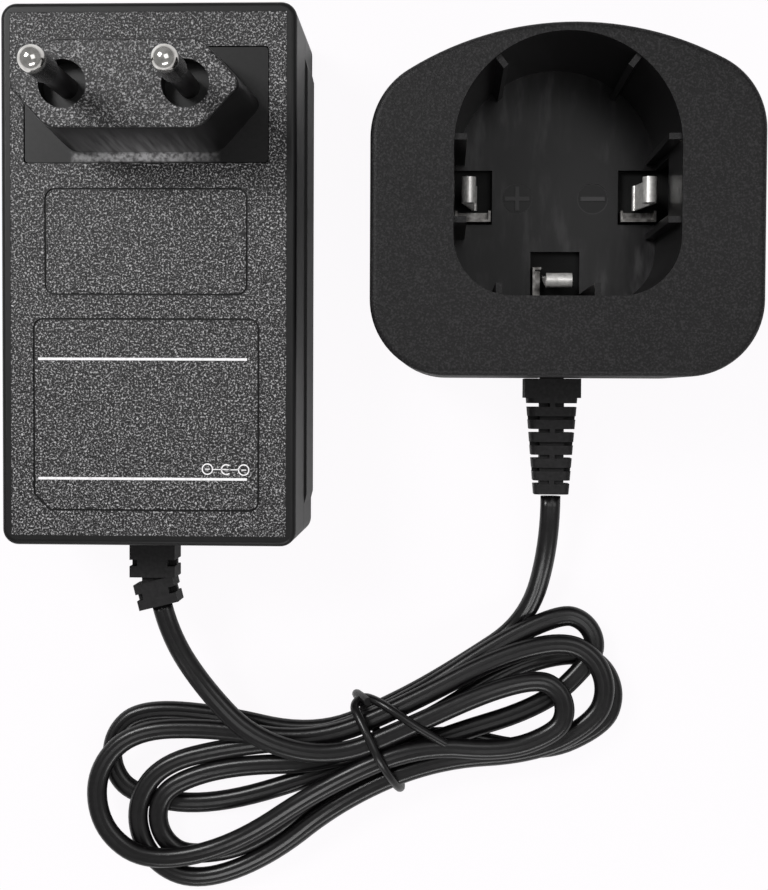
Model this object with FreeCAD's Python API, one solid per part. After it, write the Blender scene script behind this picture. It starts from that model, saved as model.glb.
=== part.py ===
"""Plug-in battery charger: a wall adapter with a flat two-pin plug, a tied cord and a battery cradle.

Millimetres. The photographed view looks down on it: +X to the right, +Y up the picture, +Z towards
the camera. Z = 0 is the table. The origin is the middle of the adapter and the cradle together.
"""
import FreeCAD, Part
import math
import os

os.makedirs("parts", exist_ok=True)
V = FreeCAD.Vector

# Overall layout
housing_gap = 12.2
cradle_drop = 4.4
running_gap = 0.3
seat_gap = 0.15

# Adapter casing
adapter_width = 48.8
adapter_length = 89.0
adapter_depth = 30.0
adapter_wall = 2.0
adapter_corner = 2.6
adapter_edge = 0.9
parting_height = 15.0
parting_groove = 0.5
groove_depth = 0.6
side_pad_length = 77.0
side_pad_proud = 0.4
outline_groove = 0.28
outline_band = 0.34
logo_panel = (33.6, 17.6, 1.8)
label_panel = (37.5, 31.8, 1.7)
logo_panel_middle = 5.5
label_panel_middle = -22.9
label_corner_cut = 2.8

# Plug on the adapter's face
plate_width = 40.1
plate_height = 18.7
plate_thick = 2.4
plate_corner = 0.6
plate_middle = 27.8
face_shift = 0.35
plate_sunk = 0.25
head_width = 36.4
head_height = 13.7
head_flat = 23.4
head_rise = 17.5
head_draft = 0.9
head_tip_corner = 1.6
head_flat_corner = 4.0
pin_spacing = 18.9
pin_diameter = 4.0
pin_reach = 19.0
pin_core = 2.5
sleeve_diameter = 3.3
sleeve_reach = 10.0
pin_well = 7.4
pin_well_depth = 3.5
pin_tail = 6.0

# Adapter circuit board and what stands on it
board_thick = 1.6
board_margin = 1.2
board_post = 2.0
board_post_width = 4.0
pin_terminal = (5.0, 0.5, 9.0)
transformer = (19.0, 16.0, 15.0)
transformer_limb = 4.5
winding_wall = 3.4
bulk_capacitor = (10.0, 16.0)
bulk_capacitor_pitch = 12.0
choke = (11.0, 3.2, 7.0)
choke_core_leg = 3.0
x_capacitor = (13.0, 6.0, 11.0)
y_capacitor = (7.0, 3.0)
fuse = (8.0, 3.6, 8.0)
bridge = (10.0, 3.2, 9.0)
transistor = (8.0, 4.4, 12.0)
heatsink_thick = 1.6
heatsink_height = 17.0
output_diode = (5.2, 9.0)
output_capacitor = (8.0, 13.0)
output_capacitor_pitch = 10.0
optocoupler = (6.4, 4.6, 3.4)
part_margin = 1.2
coil_proud = 0.8
choke_share = 0.094
transformer_share = -0.141
output_share = -0.33
lead_diameter = 1.5

# Cord and its strain reliefs
cord_diameter = 2.8
adapter_relief_x = -1.9
adapter_relief_height = 13.6
relief_block = (7.9, 5.2, 6.4)
relief_end_block = (7.0, 4.6, 5.8)
relief_neck = 4.0
relief_neck_length = 0.6
relief_stub = 1.7
relief_tilt = 14.0
relief_slot = (1.1, 2.5, 0.7)
relief_plug = 3.0
cradle_relief_x = -0.5
cradle_relief_height = 8.0
cradle_collar = (9.8, 3.4, 8.2)
cradle_taper_length = 17.0
cradle_taper_start = 8.9
cradle_taper_end = 6.1
cradle_taper_slots = 7

# Cradle housing
cradle_width = 63.1
cradle_length = 56.4
cradle_height = 34.5
cradle_wall = 2.0
cradle_top_arc = 50.8
cradle_arc_shift = 1.0
cradle_shoulder = 12.7
cradle_corner = 12.3
cradle_edge = 1.1
base_thick = 2.0
base_inset = 0.5
cup_width = 36.3
cup_length = 42.0
cup_top_margin = 1.55
cup_corner = 9.5
cup_wall = 1.2
cup_floor = 1.4
cup_floor_height = 5.6
cup_draft = 0.45
rib_thick = 1.0
rib_proud = 1.5
rib_below_rim = 0.8
boss_radius = 2.9
boss_x = 24.6
boss_low_y = -18.0
boss_high_y = 4.0
screw_radius = 1.2
screw_head = (2.3, 1.3)
screw_length = 10.0
mark_radius = 2.7
mark_bar = (4.3, 0.72)
mark_height = 0.25
mark_offset = 6.7

# Cradle contacts
contact_line = 1.8
bottom_contact_x = 0.1
leaf_width = 4.4
leaf_thick = 0.4
leaf_height = 11.5
leaf_roll = 1.25
leaf_standoff = 3.4
bottom_leaf_standoff = 4.5
leaf_lean = 2.2
leaf_foot = 0.5
window_in = 7.0
window_span = 9.6
window_top = 21.0
bottom_window_span = 8.7
bottom_window_in = 9.6
bracket_thick = 0.4
bracket_height = 4.0
bracket_gap = 0.35
cradle_board = (50.0, 36.0, 1.2)
cradle_board_lift = 0.6
diode = (2.7, 5.2)
resistor = (2.3, 6.5)

# Tied hank of cord
hank_x = -0.6
hank_y = -76.6
hank_angle = 24.0
hank_turn_gap = 0.5
waist_pitch = 4.0
tie_wire = 1.5
tie_clear = 0.2

# Places worked out from the sizes
span_x = side_pad_proud + adapter_width + housing_gap + cradle_width
relief_turn = math.radians(relief_tilt)
relief_drop = relief_end_block[1] * math.cos(relief_turn) + relief_end_block[0] / 2 * math.sin(relief_turn)
relief_out = relief_stub + relief_block[1] + relief_neck_length + relief_drop
span_y = adapter_length + relief_out
adapter_x = -span_x / 2 + side_pad_proud + adapter_width / 2
adapter_y = span_y / 2 - adapter_length / 2
cradle_x = span_x / 2 - cradle_width / 2
cradle_y = span_y / 2 - cradle_drop - cradle_length / 2
plug_x = adapter_x - face_shift
plug_y = adapter_y + plate_middle
head_top = adapter_depth + head_rise
cup_y = cradle_y + cradle_length / 2 - cup_top_margin - cup_length / 2
cup_low = cup_y - cup_length / 2
cup_round_y = cup_y + cup_length / 2 - cup_width / 2
contact_y = cup_y - contact_line
board_top = adapter_wall + board_post + board_thick
cradle_board_low = base_thick + cradle_board_lift
cradle_board_top = cradle_board_low + cradle_board[2]

nodes = {}


def box(x, y, low, sx, sy, sz):
    """A block centred on x, y that stands on the height low."""
    return Part.makeBox(sx, sy, sz, V(x - sx / 2, y - sy / 2, low))


def post(x, y, low, radius, height):
    return Part.makeCylinder(radius, height, V(x, y, low))


def rod(start, end, radius):
    step = V(*end) - V(*start)
    return Part.makeCylinder(radius, step.Length, V(*start), step)


def arc(a, middle, b):
    return Part.Arc(a, middle, b).toShape()


def rounded_wire(x, y, z, sx, sy, radius):
    """A rectangle with round corners, as one closed wire."""
    hx = sx / 2
    hy = sy / 2
    bow = radius * (1 - math.sqrt(0.5))
    edges = []
    corners = [(1, 1), (-1, 1), (-1, -1), (1, -1)]
    for index, (cx, cy) in enumerate(corners):
        side = V(x + cx * hx, y + cy * (hy - radius), z)
        cap = V(x + cx * (hx - radius), y + cy * hy, z)
        middle = V(x + cx * (hx - bow), y + cy * (hy - bow), z)
        first, last = (side, cap) if index % 2 == 0 else (cap, side)
        edges.append(arc(first, middle, last))
        nx, ny = corners[(index + 1) % 4]
        next_side = V(x + nx * hx, y + ny * (hy - radius), z)
        next_cap = V(x + nx * (hx - radius), y + ny * hy, z)
        following = next_cap if index % 2 == 0 else next_side
        edges.append(Part.makeLine(last, following))
    return Part.Wire(edges)


def slab(x, y, low, sx, sy, sz, radius):
    face = Part.Face(rounded_wire(x, y, low, sx, sy, radius))
    return face.extrude(V(0, 0, sz))


def rounded_polygon(points, radii):
    """A closed wire through corners, each rounded to its own radius."""
    edges = []
    last = None
    for index, (corner, radius) in enumerate(zip(points, radii)):
        into = (corner - points[index - 1]).normalize()
        out = (points[(index + 1) % len(points)] - corner).normalize()
        turn = into.getAngle(out)
        reach = radius * math.tan(turn / 2)
        a = corner - into * reach
        b = corner + out * reach
        inward = (out - into).normalize()
        middle = corner + inward * (radius / math.cos(turn / 2) - radius)
        if last is None:
            first = a
        else:
            edges.append(Part.makeLine(last, a))
        edges.append(arc(a, middle, b))
        last = b
    edges.append(Part.makeLine(last, first))
    return Part.Wire(edges)


def panel_wire(x, y, panel, cut, inset):
    """A panel's outline; cut is how much its lower left corner is clipped, or nothing."""
    half_w = panel[0] / 2 - inset
    half_h = panel[1] / 2 - inset
    places = [(half_w, -half_h), (half_w, half_h), (-half_w, half_h), (-half_w, -half_h)]
    radii = [panel[2] - inset] * 4
    if cut:
        clip = cut - inset * (2 - math.sqrt(2))
        places[3:] = [(-half_w, clip - half_h), (clip - half_w, -half_h)]
        radii[3:] = [0.6, 0.6]
    return rounded_polygon([V(x + a, y + b, adapter_depth - outline_groove) for a, b in places], radii)


def panel_groove(x, y, panel, cut):
    outer = Part.Face(panel_wire(x, y, panel, cut, 0)).extrude(V(0, 0, 1))
    return outer.cut(Part.Face(panel_wire(x, y, panel, cut, outline_band)).extrude(V(0, 0, 1)))


def soften(shape, pick, radius):
    """Rounds the edges whose middle point satisfies pick."""
    chosen = [e for e in shape.Edges if pick(e.valueAt((e.FirstParameter + e.LastParameter) / 2))]
    return shape.makeFillet(radius, chosen)


# Adapter front shell: the face with the plug, and the upper half of the sides
front_depth = adapter_depth - parting_height
front_shell = slab(adapter_x, adapter_y, parting_height, adapter_width, adapter_length, front_depth,
                   adapter_corner)
front_shell = soften(front_shell, lambda p: p.z > adapter_depth - 0.01, adapter_edge)
inner_width = adapter_width - 2 * adapter_wall
inner_length = adapter_length - 2 * adapter_wall
front_cavity = slab(adapter_x, adapter_y, parting_height, inner_width, inner_length,
                    front_depth - adapter_wall, 1.2)
front_shell = front_shell.cut(front_cavity)
plate_low = adapter_depth - plate_sunk - plate_thick
plate_pocket = slab(plug_x, plug_y, plate_low, plate_width + 2 * seat_gap, plate_height + 2 * seat_gap,
                    adapter_depth - plate_low, plate_corner)
front_shell = front_shell.cut(plate_pocket)
logo_y = adapter_y + logo_panel_middle
label_y = adapter_y + label_panel_middle
front_shell = front_shell.cut(panel_groove(plug_x, logo_y, logo_panel, 0))
front_shell = front_shell.cut(panel_groove(plug_x, label_y, label_panel, label_corner_cut))
around_groove = slab(adapter_x, adapter_y, parting_height, adapter_width + 2, adapter_length + 2,
                     parting_groove / 2, adapter_corner)
within_groove = slab(adapter_x, adapter_y, parting_height, adapter_width - 2 * groove_depth,
                     adapter_length - 2 * groove_depth, parting_groove / 2, adapter_corner / 2)
front_shell = front_shell.cut(around_groove.cut(within_groove))

# Adapter back shell: the half that lies on the table, with its proud side bands
back_shell = slab(adapter_x, adapter_y, 0, adapter_width, adapter_length, parting_height, adapter_corner)
back_shell = soften(back_shell, lambda p: p.z < 0.01, adapter_edge)
for side in (-1, 1):
    edge_x = adapter_x + side * adapter_width / 2
    half = side_pad_length / 2
    slope = side_pad_proud * 4
    low = adapter_edge + 0.6
    high = parting_height - parting_groove
    corners = [V(edge_x - side, adapter_y - half, low), V(edge_x, adapter_y - half, low),
               V(edge_x + side * side_pad_proud, adapter_y - half + slope, low),
               V(edge_x + side * side_pad_proud, adapter_y + half - slope, low),
               V(edge_x, adapter_y + half, low), V(edge_x - side, adapter_y + half, low)]
    pad = Part.Face(Part.makePolygon(corners + corners[:1])).extrude(V(0, 0, high - low))
    back_shell = back_shell.fuse(pad)
back_cavity = slab(adapter_x, adapter_y, adapter_wall, inner_width, inner_length,
                   parting_height - adapter_wall, 1.2)
back_shell = back_shell.cut(back_cavity)
post_x = inner_width / 2 - board_margin - board_post_width / 2 - 1
post_y = inner_length / 2 - board_margin - board_post_width / 2 - 2
for sx in (-1, 1):
    for sy in (-1, 1):
        stand = box(adapter_x + sx * post_x, adapter_y + sy * post_y, adapter_wall / 2,
                    board_post_width, board_post_width, board_post + adapter_wall / 2)
        back_shell = back_shell.fuse(stand)

# Each half of the lower end wall has half of the mouth that grips the strain relief
relief_x = adapter_x + adapter_relief_x
adapter_end_y = adapter_y - adapter_length / 2
mouth = box(relief_x, adapter_end_y + adapter_wall / 2, adapter_relief_height - relief_neck / 2 - seat_gap,
            relief_neck + 2 * seat_gap, adapter_wall + 2, relief_neck + 2 * seat_gap)
front_shell = front_shell.cut(mouth)
back_shell = back_shell.cut(mouth)
nodes["adapter_front_shell"] = front_shell
nodes["adapter_back_shell"] = back_shell


def head_wire(inset, z):
    """The flat two-pin plug's outline: a long hexagon with rounded corners."""
    half_w = head_width / 2 - inset
    half_h = head_height / 2 - inset
    half_f = head_flat / 2 - inset * 0.6
    tips = [(half_w, 0), (half_f, half_h), (-half_f, half_h), (-half_w, 0), (-half_f, -half_h),
            (half_f, -half_h)]
    radii = [head_tip_corner, head_flat_corner, head_flat_corner] * 2
    return rounded_polygon([V(plug_x + a, plug_y + b, z) for a, b in tips], radii)


# Plug body: the plate set in the face and the flat plug moulded on it
plug_body = slab(plug_x, plug_y, plate_low, plate_width, plate_height, plate_thick, plate_corner)
plate_top = plate_low + plate_thick
head = Part.makeLoft([head_wire(-head_draft, plate_top - 0.5), head_wire(0, head_top)], True, True)
head = soften(head, lambda p: p.z > head_top - 0.01, 0.5)
plug_body = plug_body.fuse(head)
pin_bottom = plate_low - pin_tail
for side in (-1, 1):
    pin_x = plug_x + side * pin_spacing / 2
    plug_body = plug_body.cut(post(pin_x, plug_y, plate_low - 1, sleeve_diameter / 2 + 0.02, head_rise + 5))
    well = post(pin_x, plug_y, head_top - pin_well_depth, pin_well / 2, pin_well_depth + 1)
    plug_body = plug_body.cut(well)
nodes["plug_body"] = plug_body

for side, name in ((-1, "left"), (1, "right")):
    pin_x = plug_x + side * pin_spacing / 2
    pin_top = head_top + pin_reach
    ball_z = pin_top - pin_diameter / 2
    sleeve_top = head_top + sleeve_reach
    pin = post(pin_x, plug_y, sleeve_top, pin_diameter / 2, ball_z - sleeve_top)
    pin = pin.fuse(Part.makeSphere(pin_diameter / 2, V(pin_x, plug_y, ball_z)))
    pin = pin.fuse(post(pin_x, plug_y, pin_bottom, pin_core / 2, sleeve_top - pin_bottom + 0.5))
    nodes["plug_pin_" + name] = pin
    sleeve = post(pin_x, plug_y, plate_low, sleeve_diameter / 2, sleeve_top - plate_low)
    nodes["pin_sleeve_" + name] = sleeve.cut(post(pin_x, plug_y, plate_low - 1, pin_core / 2, sleeve_top))
    blade = box(pin_x, plug_y, board_top, pin_terminal[0], pin_terminal[1], plate_low - 1 - board_top)
    eyelet = post(pin_x, plug_y, pin_bottom + 1, pin_core / 2 + 0.7, 2)
    terminal = blade.fuse(eyelet).cut(post(pin_x, plug_y, pin_bottom - 1, pin_core / 2 + 0.02, pin_tail + 2))
    nodes["pin_terminal_" + name] = terminal

# Adapter circuit board, held on the four posts of the back shell
board_w = inner_width - 2 * board_margin
board_l = inner_length - 2 * board_margin
board_low = board_top - board_thick
nodes["adapter_board"] = box(adapter_x, adapter_y, board_low, board_w, board_l, board_thick)


def can(x, y, diameter, height):
    """An electrolytic capacitor: a sleeved can with its rolled rim."""
    body = post(x, y, board_top, diameter / 2, height)
    groove = Part.makeTorus(diameter / 2 + 0.2, 0.45, V(x, y, board_top + 1.4))
    return body.cut(groove)


# Mains side, under the plug. The parts stand in from the board's edges by part_margin
left_edge = adapter_x - board_w / 2 + part_margin
right_edge = adapter_x + board_w / 2 - part_margin
mains_y = adapter_y + board_l / 2 - part_margin - x_capacitor[1] / 2
fuse_x = right_edge - fuse[1] / 2
nodes["fuse"] = post(fuse_x, mains_y, board_top, fuse[1] / 2, fuse[0])
x_capacitor_x = left_edge + x_capacitor[0] / 2
nodes["x_capacitor"] = slab(x_capacitor_x, mains_y, board_top, *x_capacitor, 0.6)
choke_y = adapter_y + choke_share * inner_length
choke_x = left_edge + coil_proud + choke[0] / 2
choke_core = box(choke_x, choke_y, board_top, choke[0], choke_core_leg, choke[0])
choke_core = choke_core.cut(box(choke_x, choke_y, board_top + choke[1], choke[0] - 2 * choke[1],
                                choke_core_leg + 1, choke[0] - 2 * choke[1]))
nodes["choke_core"] = choke_core
winding_high = choke[0] - 2 * choke[1] - 0.2
coils = []
for side in (-1, 1):
    coil_x = choke_x + side * (choke[0] / 2 - choke[1] / 2)
    coil = box(coil_x, choke_y, board_top + choke[1] + 0.1, choke[1] + 2 * coil_proud,
               choke_core_leg + 2 * coil_proud, winding_high)
    leg = box(coil_x, choke_y, board_top, choke[1] + 0.02, choke_core_leg + 0.02, 2 * choke[0])
    coils.append(coil.cut(leg))
nodes["choke_windings"] = Part.makeCompound(coils)
bridge_x = (x_capacitor_x + x_capacitor[0] / 2 + fuse_x - fuse[1] / 2) / 2
nodes["bridge_rectifier"] = box(bridge_x, mains_y, board_top, *bridge)

bulk = []
for place in (0, 1):
    bulk_x = right_edge - bulk_capacitor[0] / 2 - place * bulk_capacitor_pitch
    bulk.append(can(bulk_x, choke_y, *bulk_capacitor))
nodes["bulk_capacitors"] = Part.makeCompound(bulk)

# Transformer: a ferrite core in two E halves round its winding
core_y = adapter_y + transformer_share * inner_length
core_x = adapter_x
core = box(core_x, core_y, board_top + 1, transformer[0], transformer_limb, transformer[2])
yoke = transformer_limb / 2
opening = (transformer[0] - 2 * yoke, transformer[2] - 2 * yoke)
core = core.cut(box(core_x, core_y, board_top + 1 + yoke, opening[0], transformer_limb + 1, opening[1]))
core = core.fuse(box(core_x, core_y, board_top + 1, transformer_limb, transformer_limb, transformer[2]))
nodes["transformer_core"] = core
winding_wide = transformer_limb + 2 * winding_wall
winding = slab(core_x, core_y, board_top + 1 + yoke + 0.2, winding_wide, winding_wide, opening[1] - 0.4, 1.5)
bore = box(core_x, core_y, board_top, transformer_limb + 0.04, transformer_limb + 0.04, 3 * transformer[2])
nodes["transformer_winding"] = winding.cut(bore)
bobbin = box(core_x, core_y, board_top, transformer[0] - 2, transformer[1] + 2, 0.98)
nodes["transformer_bobbin"] = bobbin
heatsink_start = core_x + transformer[0] / 2 + running_gap
heatsink_wide = adapter_x + board_w / 2 - running_gap - heatsink_start
heatsink_x = heatsink_start + heatsink_wide / 2
heatsink_y = core_y + transformer[1] / 4
nodes["heatsink"] = box(heatsink_x, heatsink_y, board_top, heatsink_wide, heatsink_thick, heatsink_height)
transistor_y = heatsink_y - heatsink_thick / 2 - transistor[1] / 2
nodes["switching_transistor"] = box(heatsink_x, transistor_y, board_top, *transistor)
y_capacitor_x = left_edge + y_capacitor[0] / 2
y_capacitor_y = core_y + transformer[1] / 2
y_capacitor_z = board_top + y_capacitor[0] / 2
nodes["y_capacitor"] = rod((y_capacitor_x, y_capacitor_y, y_capacitor_z),
                           (y_capacitor_x, y_capacitor_y - y_capacitor[1], y_capacitor_z), y_capacitor[0] / 2)
optocoupler_x = left_edge + optocoupler[0] / 2
nodes["optocoupler"] = box(optocoupler_x, core_y - transformer[1] / 3, board_top, *optocoupler)

# Low-voltage side, next to the cord
output_y = adapter_y + output_share * inner_length
output = []
for place in (0, 1):
    output_x = left_edge + output_capacitor[0] / 2 + place * output_capacitor_pitch
    output.append(can(output_x, output_y, *output_capacitor))
nodes["output_capacitors"] = Part.makeCompound(output)
diode_z = board_top + output_diode[0] / 2
nodes["output_diode"] = rod((right_edge - output_diode[1], output_y, diode_z),
                            (right_edge, output_y, diode_z), output_diode[0] / 2)
leads = []
for side in (-1, 1):
    lead_x = relief_x + side * lead_diameter * 0.6
    lead_y = adapter_end_y + adapter_wall + relief_plug
    top = adapter_relief_height
    upright = rod((lead_x, lead_y + 3, board_top), (lead_x, lead_y + 3, top), lead_diameter / 2)
    level = rod((lead_x, lead_y + 3, top), (lead_x, lead_y, top), lead_diameter / 2)
    leads.append(upright.fuse(level).fuse(Part.makeSphere(lead_diameter / 2, V(lead_x, lead_y + 3, top))))
nodes["adapter_output_leads"] = leads[0].fuse(leads[1])


def relief_slots(shape, y, width):
    """A row of narrow slots from both faces, which lets the rubber bend."""
    depth = relief_slot[1]
    for face in (-1, 1):
        z = adapter_relief_height + face * relief_block[2] / 2
        for side in (-1, 1):
            shape = shape.cut(Part.makeBox(width / 3, relief_slot[0], depth * 2,
                                           V(relief_x + side * width / 2 - width / 6, y, z - depth)))
    return shape


# Adapter strain relief: two moulded blocks joined by a neck, the outer one bent with the cord
stub_y = adapter_end_y - relief_stub
block_y = stub_y - relief_block[1]
relief = box(relief_x, adapter_end_y + adapter_wall / 2, adapter_relief_height - relief_neck / 2,
             relief_neck, adapter_wall + 2 * relief_stub, relief_neck)
relief_low = adapter_relief_height - relief_block[2] / 2
flange = box(relief_x, adapter_end_y + adapter_wall + relief_plug / 2, relief_low,
             relief_block[0], relief_plug - 2 * seat_gap, relief_block[2])
front_bar = box(relief_x, adapter_end_y - relief_stub / 2 - seat_gap / 2, relief_low,
                relief_block[0], relief_stub - seat_gap, relief_block[2])
first_block = box(relief_x, stub_y - relief_block[1] / 2, relief_low, *relief_block)
first_block = relief_slots(first_block, stub_y - relief_block[1] * 0.62, relief_block[0])
neck_y = block_y - relief_neck_length
neck = box(relief_x, block_y - relief_neck_length / 2, adapter_relief_height - relief_neck / 2,
           relief_neck, relief_neck_length + 1, relief_neck)
second = box(relief_x, neck_y - relief_end_block[1] / 2, adapter_relief_height - relief_end_block[2] / 2,
             relief_end_block[0], relief_end_block[1], relief_end_block[2])
second = relief_slots(second, neck_y - relief_end_block[1] * 0.62, relief_end_block[0])
bend_point = V(relief_x, neck_y, adapter_relief_height)
second.rotate(bend_point, V(0, 0, 1), relief_tilt)
adapter_relief = relief.fuse([flange, front_bar, first_block, neck, second])
for lead_side in (-1, 1):
    lead_x = relief_x + lead_side * lead_diameter * 0.6
    lead_hole = rod((lead_x, adapter_end_y + adapter_wall - 1, adapter_relief_height),
                    (lead_x, adapter_end_y + adapter_wall + relief_plug + 1, adapter_relief_height),
                    lead_diameter / 2 + 0.05)
    adapter_relief = adapter_relief.cut(lead_hole)
nodes["adapter_strain_relief"] = adapter_relief


def outline(inset, z):
    """The cradle seen from above: straight sides, a broad arc at the top, rounded lower corners.

    The broad arc's middle is a little to the right of the cradle's.
    """
    half = cradle_width / 2 - inset
    top = cradle_y + cradle_length / 2 - inset
    low = cradle_y - cradle_length / 2 + inset
    big = cradle_top_arc - inset
    small = cradle_shoulder - inset
    corner = max(cradle_corner - inset, 0.5)
    bow = corner * (1 - math.sqrt(0.5))
    arc_x = cradle_x + cradle_arc_shift

    def at(side, x, y):
        return V(cradle_x + side * x, y, z)

    def shoulder(side):
        """Where the broad arc ends, the middle of the shoulder, and where the straight side begins."""
        across = half - side * cradle_arc_shift - small
        centre = V(arc_x + side * across, top - big + math.sqrt((big - small) ** 2 - across ** 2), z)
        lean = math.atan2(centre.y - top + big, across)
        ends = [V(side * math.cos(turn), math.sin(turn), 0) * small + centre for turn in (lean, lean / 2)]
        return ends + [centre + V(side * small, 0, 0)]

    right_join, right_middle, right_side = shoulder(1)
    left_join, left_middle, left_side = shoulder(-1)
    edges = [arc(right_join, V(arc_x, top, z), left_join),
             arc(left_join, left_middle, left_side),
             Part.makeLine(left_side, at(-1, half, low + corner)),
             arc(at(-1, half, low + corner), at(-1, half - bow, low + bow), at(-1, half - corner, low)),
             Part.makeLine(at(-1, half - corner, low), at(1, half - corner, low)),
             arc(at(1, half - corner, low), at(1, half - bow, low + bow), at(1, half, low + corner)),
             Part.makeLine(at(1, half, low + corner), right_side),
             arc(right_side, right_middle, right_join)]
    return Part.Wire(edges)


def outline_slab(inset, low, height):
    return Part.Face(outline(inset, low)).extrude(V(0, 0, height))


def cup_wire(inset, z):
    """The cup's outline: a half circle at the top, straight sides and rounded lower corners."""
    half = cup_width / 2 - inset
    low = cup_low + inset
    corner = cup_corner - inset
    bow = corner * (1 - math.sqrt(0.5))

    def at(x, y):
        return V(cradle_x + x, y, z)
    edges = [arc(at(half, cup_round_y), at(0, cup_round_y + half), at(-half, cup_round_y)),
             Part.makeLine(at(-half, cup_round_y), at(-half, low + corner)),
             arc(at(-half, low + corner), at(-half + bow, low + bow), at(-half + corner, low)),
             Part.makeLine(at(-half + corner, low), at(half - corner, low)),
             arc(at(half - corner, low), at(half - bow, low + bow), at(half, low + corner)),
             Part.makeLine(at(half, low + corner), at(half, cup_round_y))]
    return Part.Wire(edges)


# Cradle housing: one moulding with the cup for the battery's stem
housing_depth = cradle_height - base_thick
housing = outline_slab(0, base_thick, housing_depth)
housing = soften(housing, lambda p: p.z > cradle_height - 0.01, cradle_edge)
hollow = outline_slab(cradle_wall, base_thick, housing_depth - cradle_wall)
cup_block = Part.makeLoft([cup_wire(cup_draft - cup_wall, cup_floor_height - cup_floor),
                           cup_wire(-cup_wall, cradle_height)], True, True)
housing = housing.cut(hollow.cut(cup_block))
cup_space = Part.makeLoft([cup_wire(cup_draft, cup_floor_height), cup_wire(0, cradle_height)], True, True)
housing = housing.cut(cup_space)
for bx in (-1, 1):
    for by in (boss_low_y, boss_high_y):
        boss = post(cradle_x + bx * boss_x, cradle_y + by, base_thick, boss_radius, housing_depth - 1)
        pilot = post(cradle_x + bx * boss_x, cradle_y + by, base_thick, screw_radius, screw_length)
        housing = housing.fuse(boss).cut(pilot)


def wall_rib(x, y, angle):
    """A guide rib on the cup's wall that runs down it from just below the rim."""
    rib = box(0, 0, cup_floor_height - 0.5, rib_thick, 2 * rib_proud + cup_wall,
              cradle_height - rib_below_rim - cup_floor_height + 0.5)
    rib.rotate(V(0, 0, 0), V(0, 0, 1), angle)
    rib.translate(V(x, y, 0))
    return rib


half_cup = cup_width / 2
ribs = []
for side in (-1, 1):
    for y in (contact_y + window_span / 2 + 1.4, contact_y - window_span / 2 - 2.2):
        ribs.append(wall_rib(cradle_x + side * half_cup, y, 90))
    swing = math.radians(38.0)
    ribs.append(wall_rib(cradle_x + side * half_cup * math.sin(swing),
                         cup_round_y + half_cup * math.cos(swing), -side * 38.0))
ribs += [wall_rib(cradle_x + x, cup_low, 0) for x in (-10.8, 5.0)]
inner_side = Part.makeLoft([cup_wire(cup_draft - cup_wall / 2, cup_floor_height - 0.5),
                            cup_wire(-cup_wall / 2, cradle_height)], True, True)
for rib in ribs:
    housing = housing.fuse(rib.common(inner_side))

# Windows through the cup's floor and wall, one for each contact
for side in (-1, 1):
    edge = cradle_x + side * half_cup
    window = box(edge - side * (window_in - cup_wall * 2) / 2, contact_y, cup_floor_height - cup_floor - 0.5,
                 window_in + cup_wall * 2, window_span, window_top - cup_floor_height + cup_floor)
    housing = housing.cut(window)
bottom_x = cradle_x + bottom_contact_x
bottom_window = box(bottom_x, cup_low + bottom_window_in / 2 - cup_wall,
                    cup_floor_height - cup_floor - 0.5, bottom_window_span, bottom_window_in + cup_wall * 2,
                    window_top - cup_floor_height + cup_floor)
housing = housing.cut(bottom_window)

# The polarity marks on the floor: a raised plus, and a minus in a sunk disc
plus_x = cradle_x - mark_offset
minus_x = cradle_x + mark_offset
mark_y = contact_y - 0.2
plus = box(plus_x, mark_y, cup_floor_height - 0.1, *mark_bar, mark_height + 0.1)
plus = plus.fuse(box(plus_x, mark_y, cup_floor_height - 0.1, mark_bar[1], mark_bar[0], mark_height + 0.1))
housing = housing.fuse(plus)
housing = housing.cut(post(minus_x, mark_y, cup_floor_height - mark_height, mark_radius, 1))
minus = box(minus_x, mark_y, cup_floor_height - mark_height - 0.1, *mark_bar, mark_height + 0.1)
housing = housing.fuse(minus)
plus_ring = post(plus_x, mark_y, cup_floor_height - 0.12, mark_radius, 1)
plus_ring = plus_ring.cut(post(plus_x, mark_y, cup_floor_height - 0.2, mark_radius - 0.15, 2))
housing = housing.cut(plus_ring)

# The strain relief's throat in the front wall
c_relief_x = cradle_x + cradle_relief_x
cradle_front = cradle_y - cradle_length / 2
throat_high = cradle_relief_height + relief_neck / 2 + seat_gap
throat = box(c_relief_x, cradle_front + cradle_wall / 2, base_thick,
             relief_neck + 2 * seat_gap, cradle_wall + 1, throat_high - base_thick)
housing = housing.cut(throat)
nodes["cradle_housing"] = housing

# Cradle base: a plate screwed to the housing from below
base = outline_slab(base_inset, 0, base_thick)
for bx in (-1, 1):
    for by in (boss_low_y, boss_high_y):
        place = (cradle_x + bx * boss_x, cradle_y + by)
        base = base.cut(post(*place, -1, screw_radius + seat_gap, base_thick + 2))
        base = base.cut(post(*place, -1, screw_head[0] + seat_gap, 1 + screw_head[1]))
for bx in (-1, 1):
    for by in (-1, 1):
        stud = post(cradle_x + bx * (cradle_board[0] / 2 - 3), contact_y + by * (cradle_board[1] / 2 - 14),
                    base_thick - 0.5, 1.5, cradle_board_lift + 0.5)
        base = base.fuse(stud)
fill_high = cradle_relief_height - relief_neck / 2 - seat_gap
throat_fill = box(c_relief_x, cradle_front + cradle_wall / 2, base_thick - 0.2, relief_neck,
                  cradle_wall - 2 * seat_gap, fill_high - base_thick + 0.2)
base = base.fuse(throat_fill)
nodes["cradle_base"] = base

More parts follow.
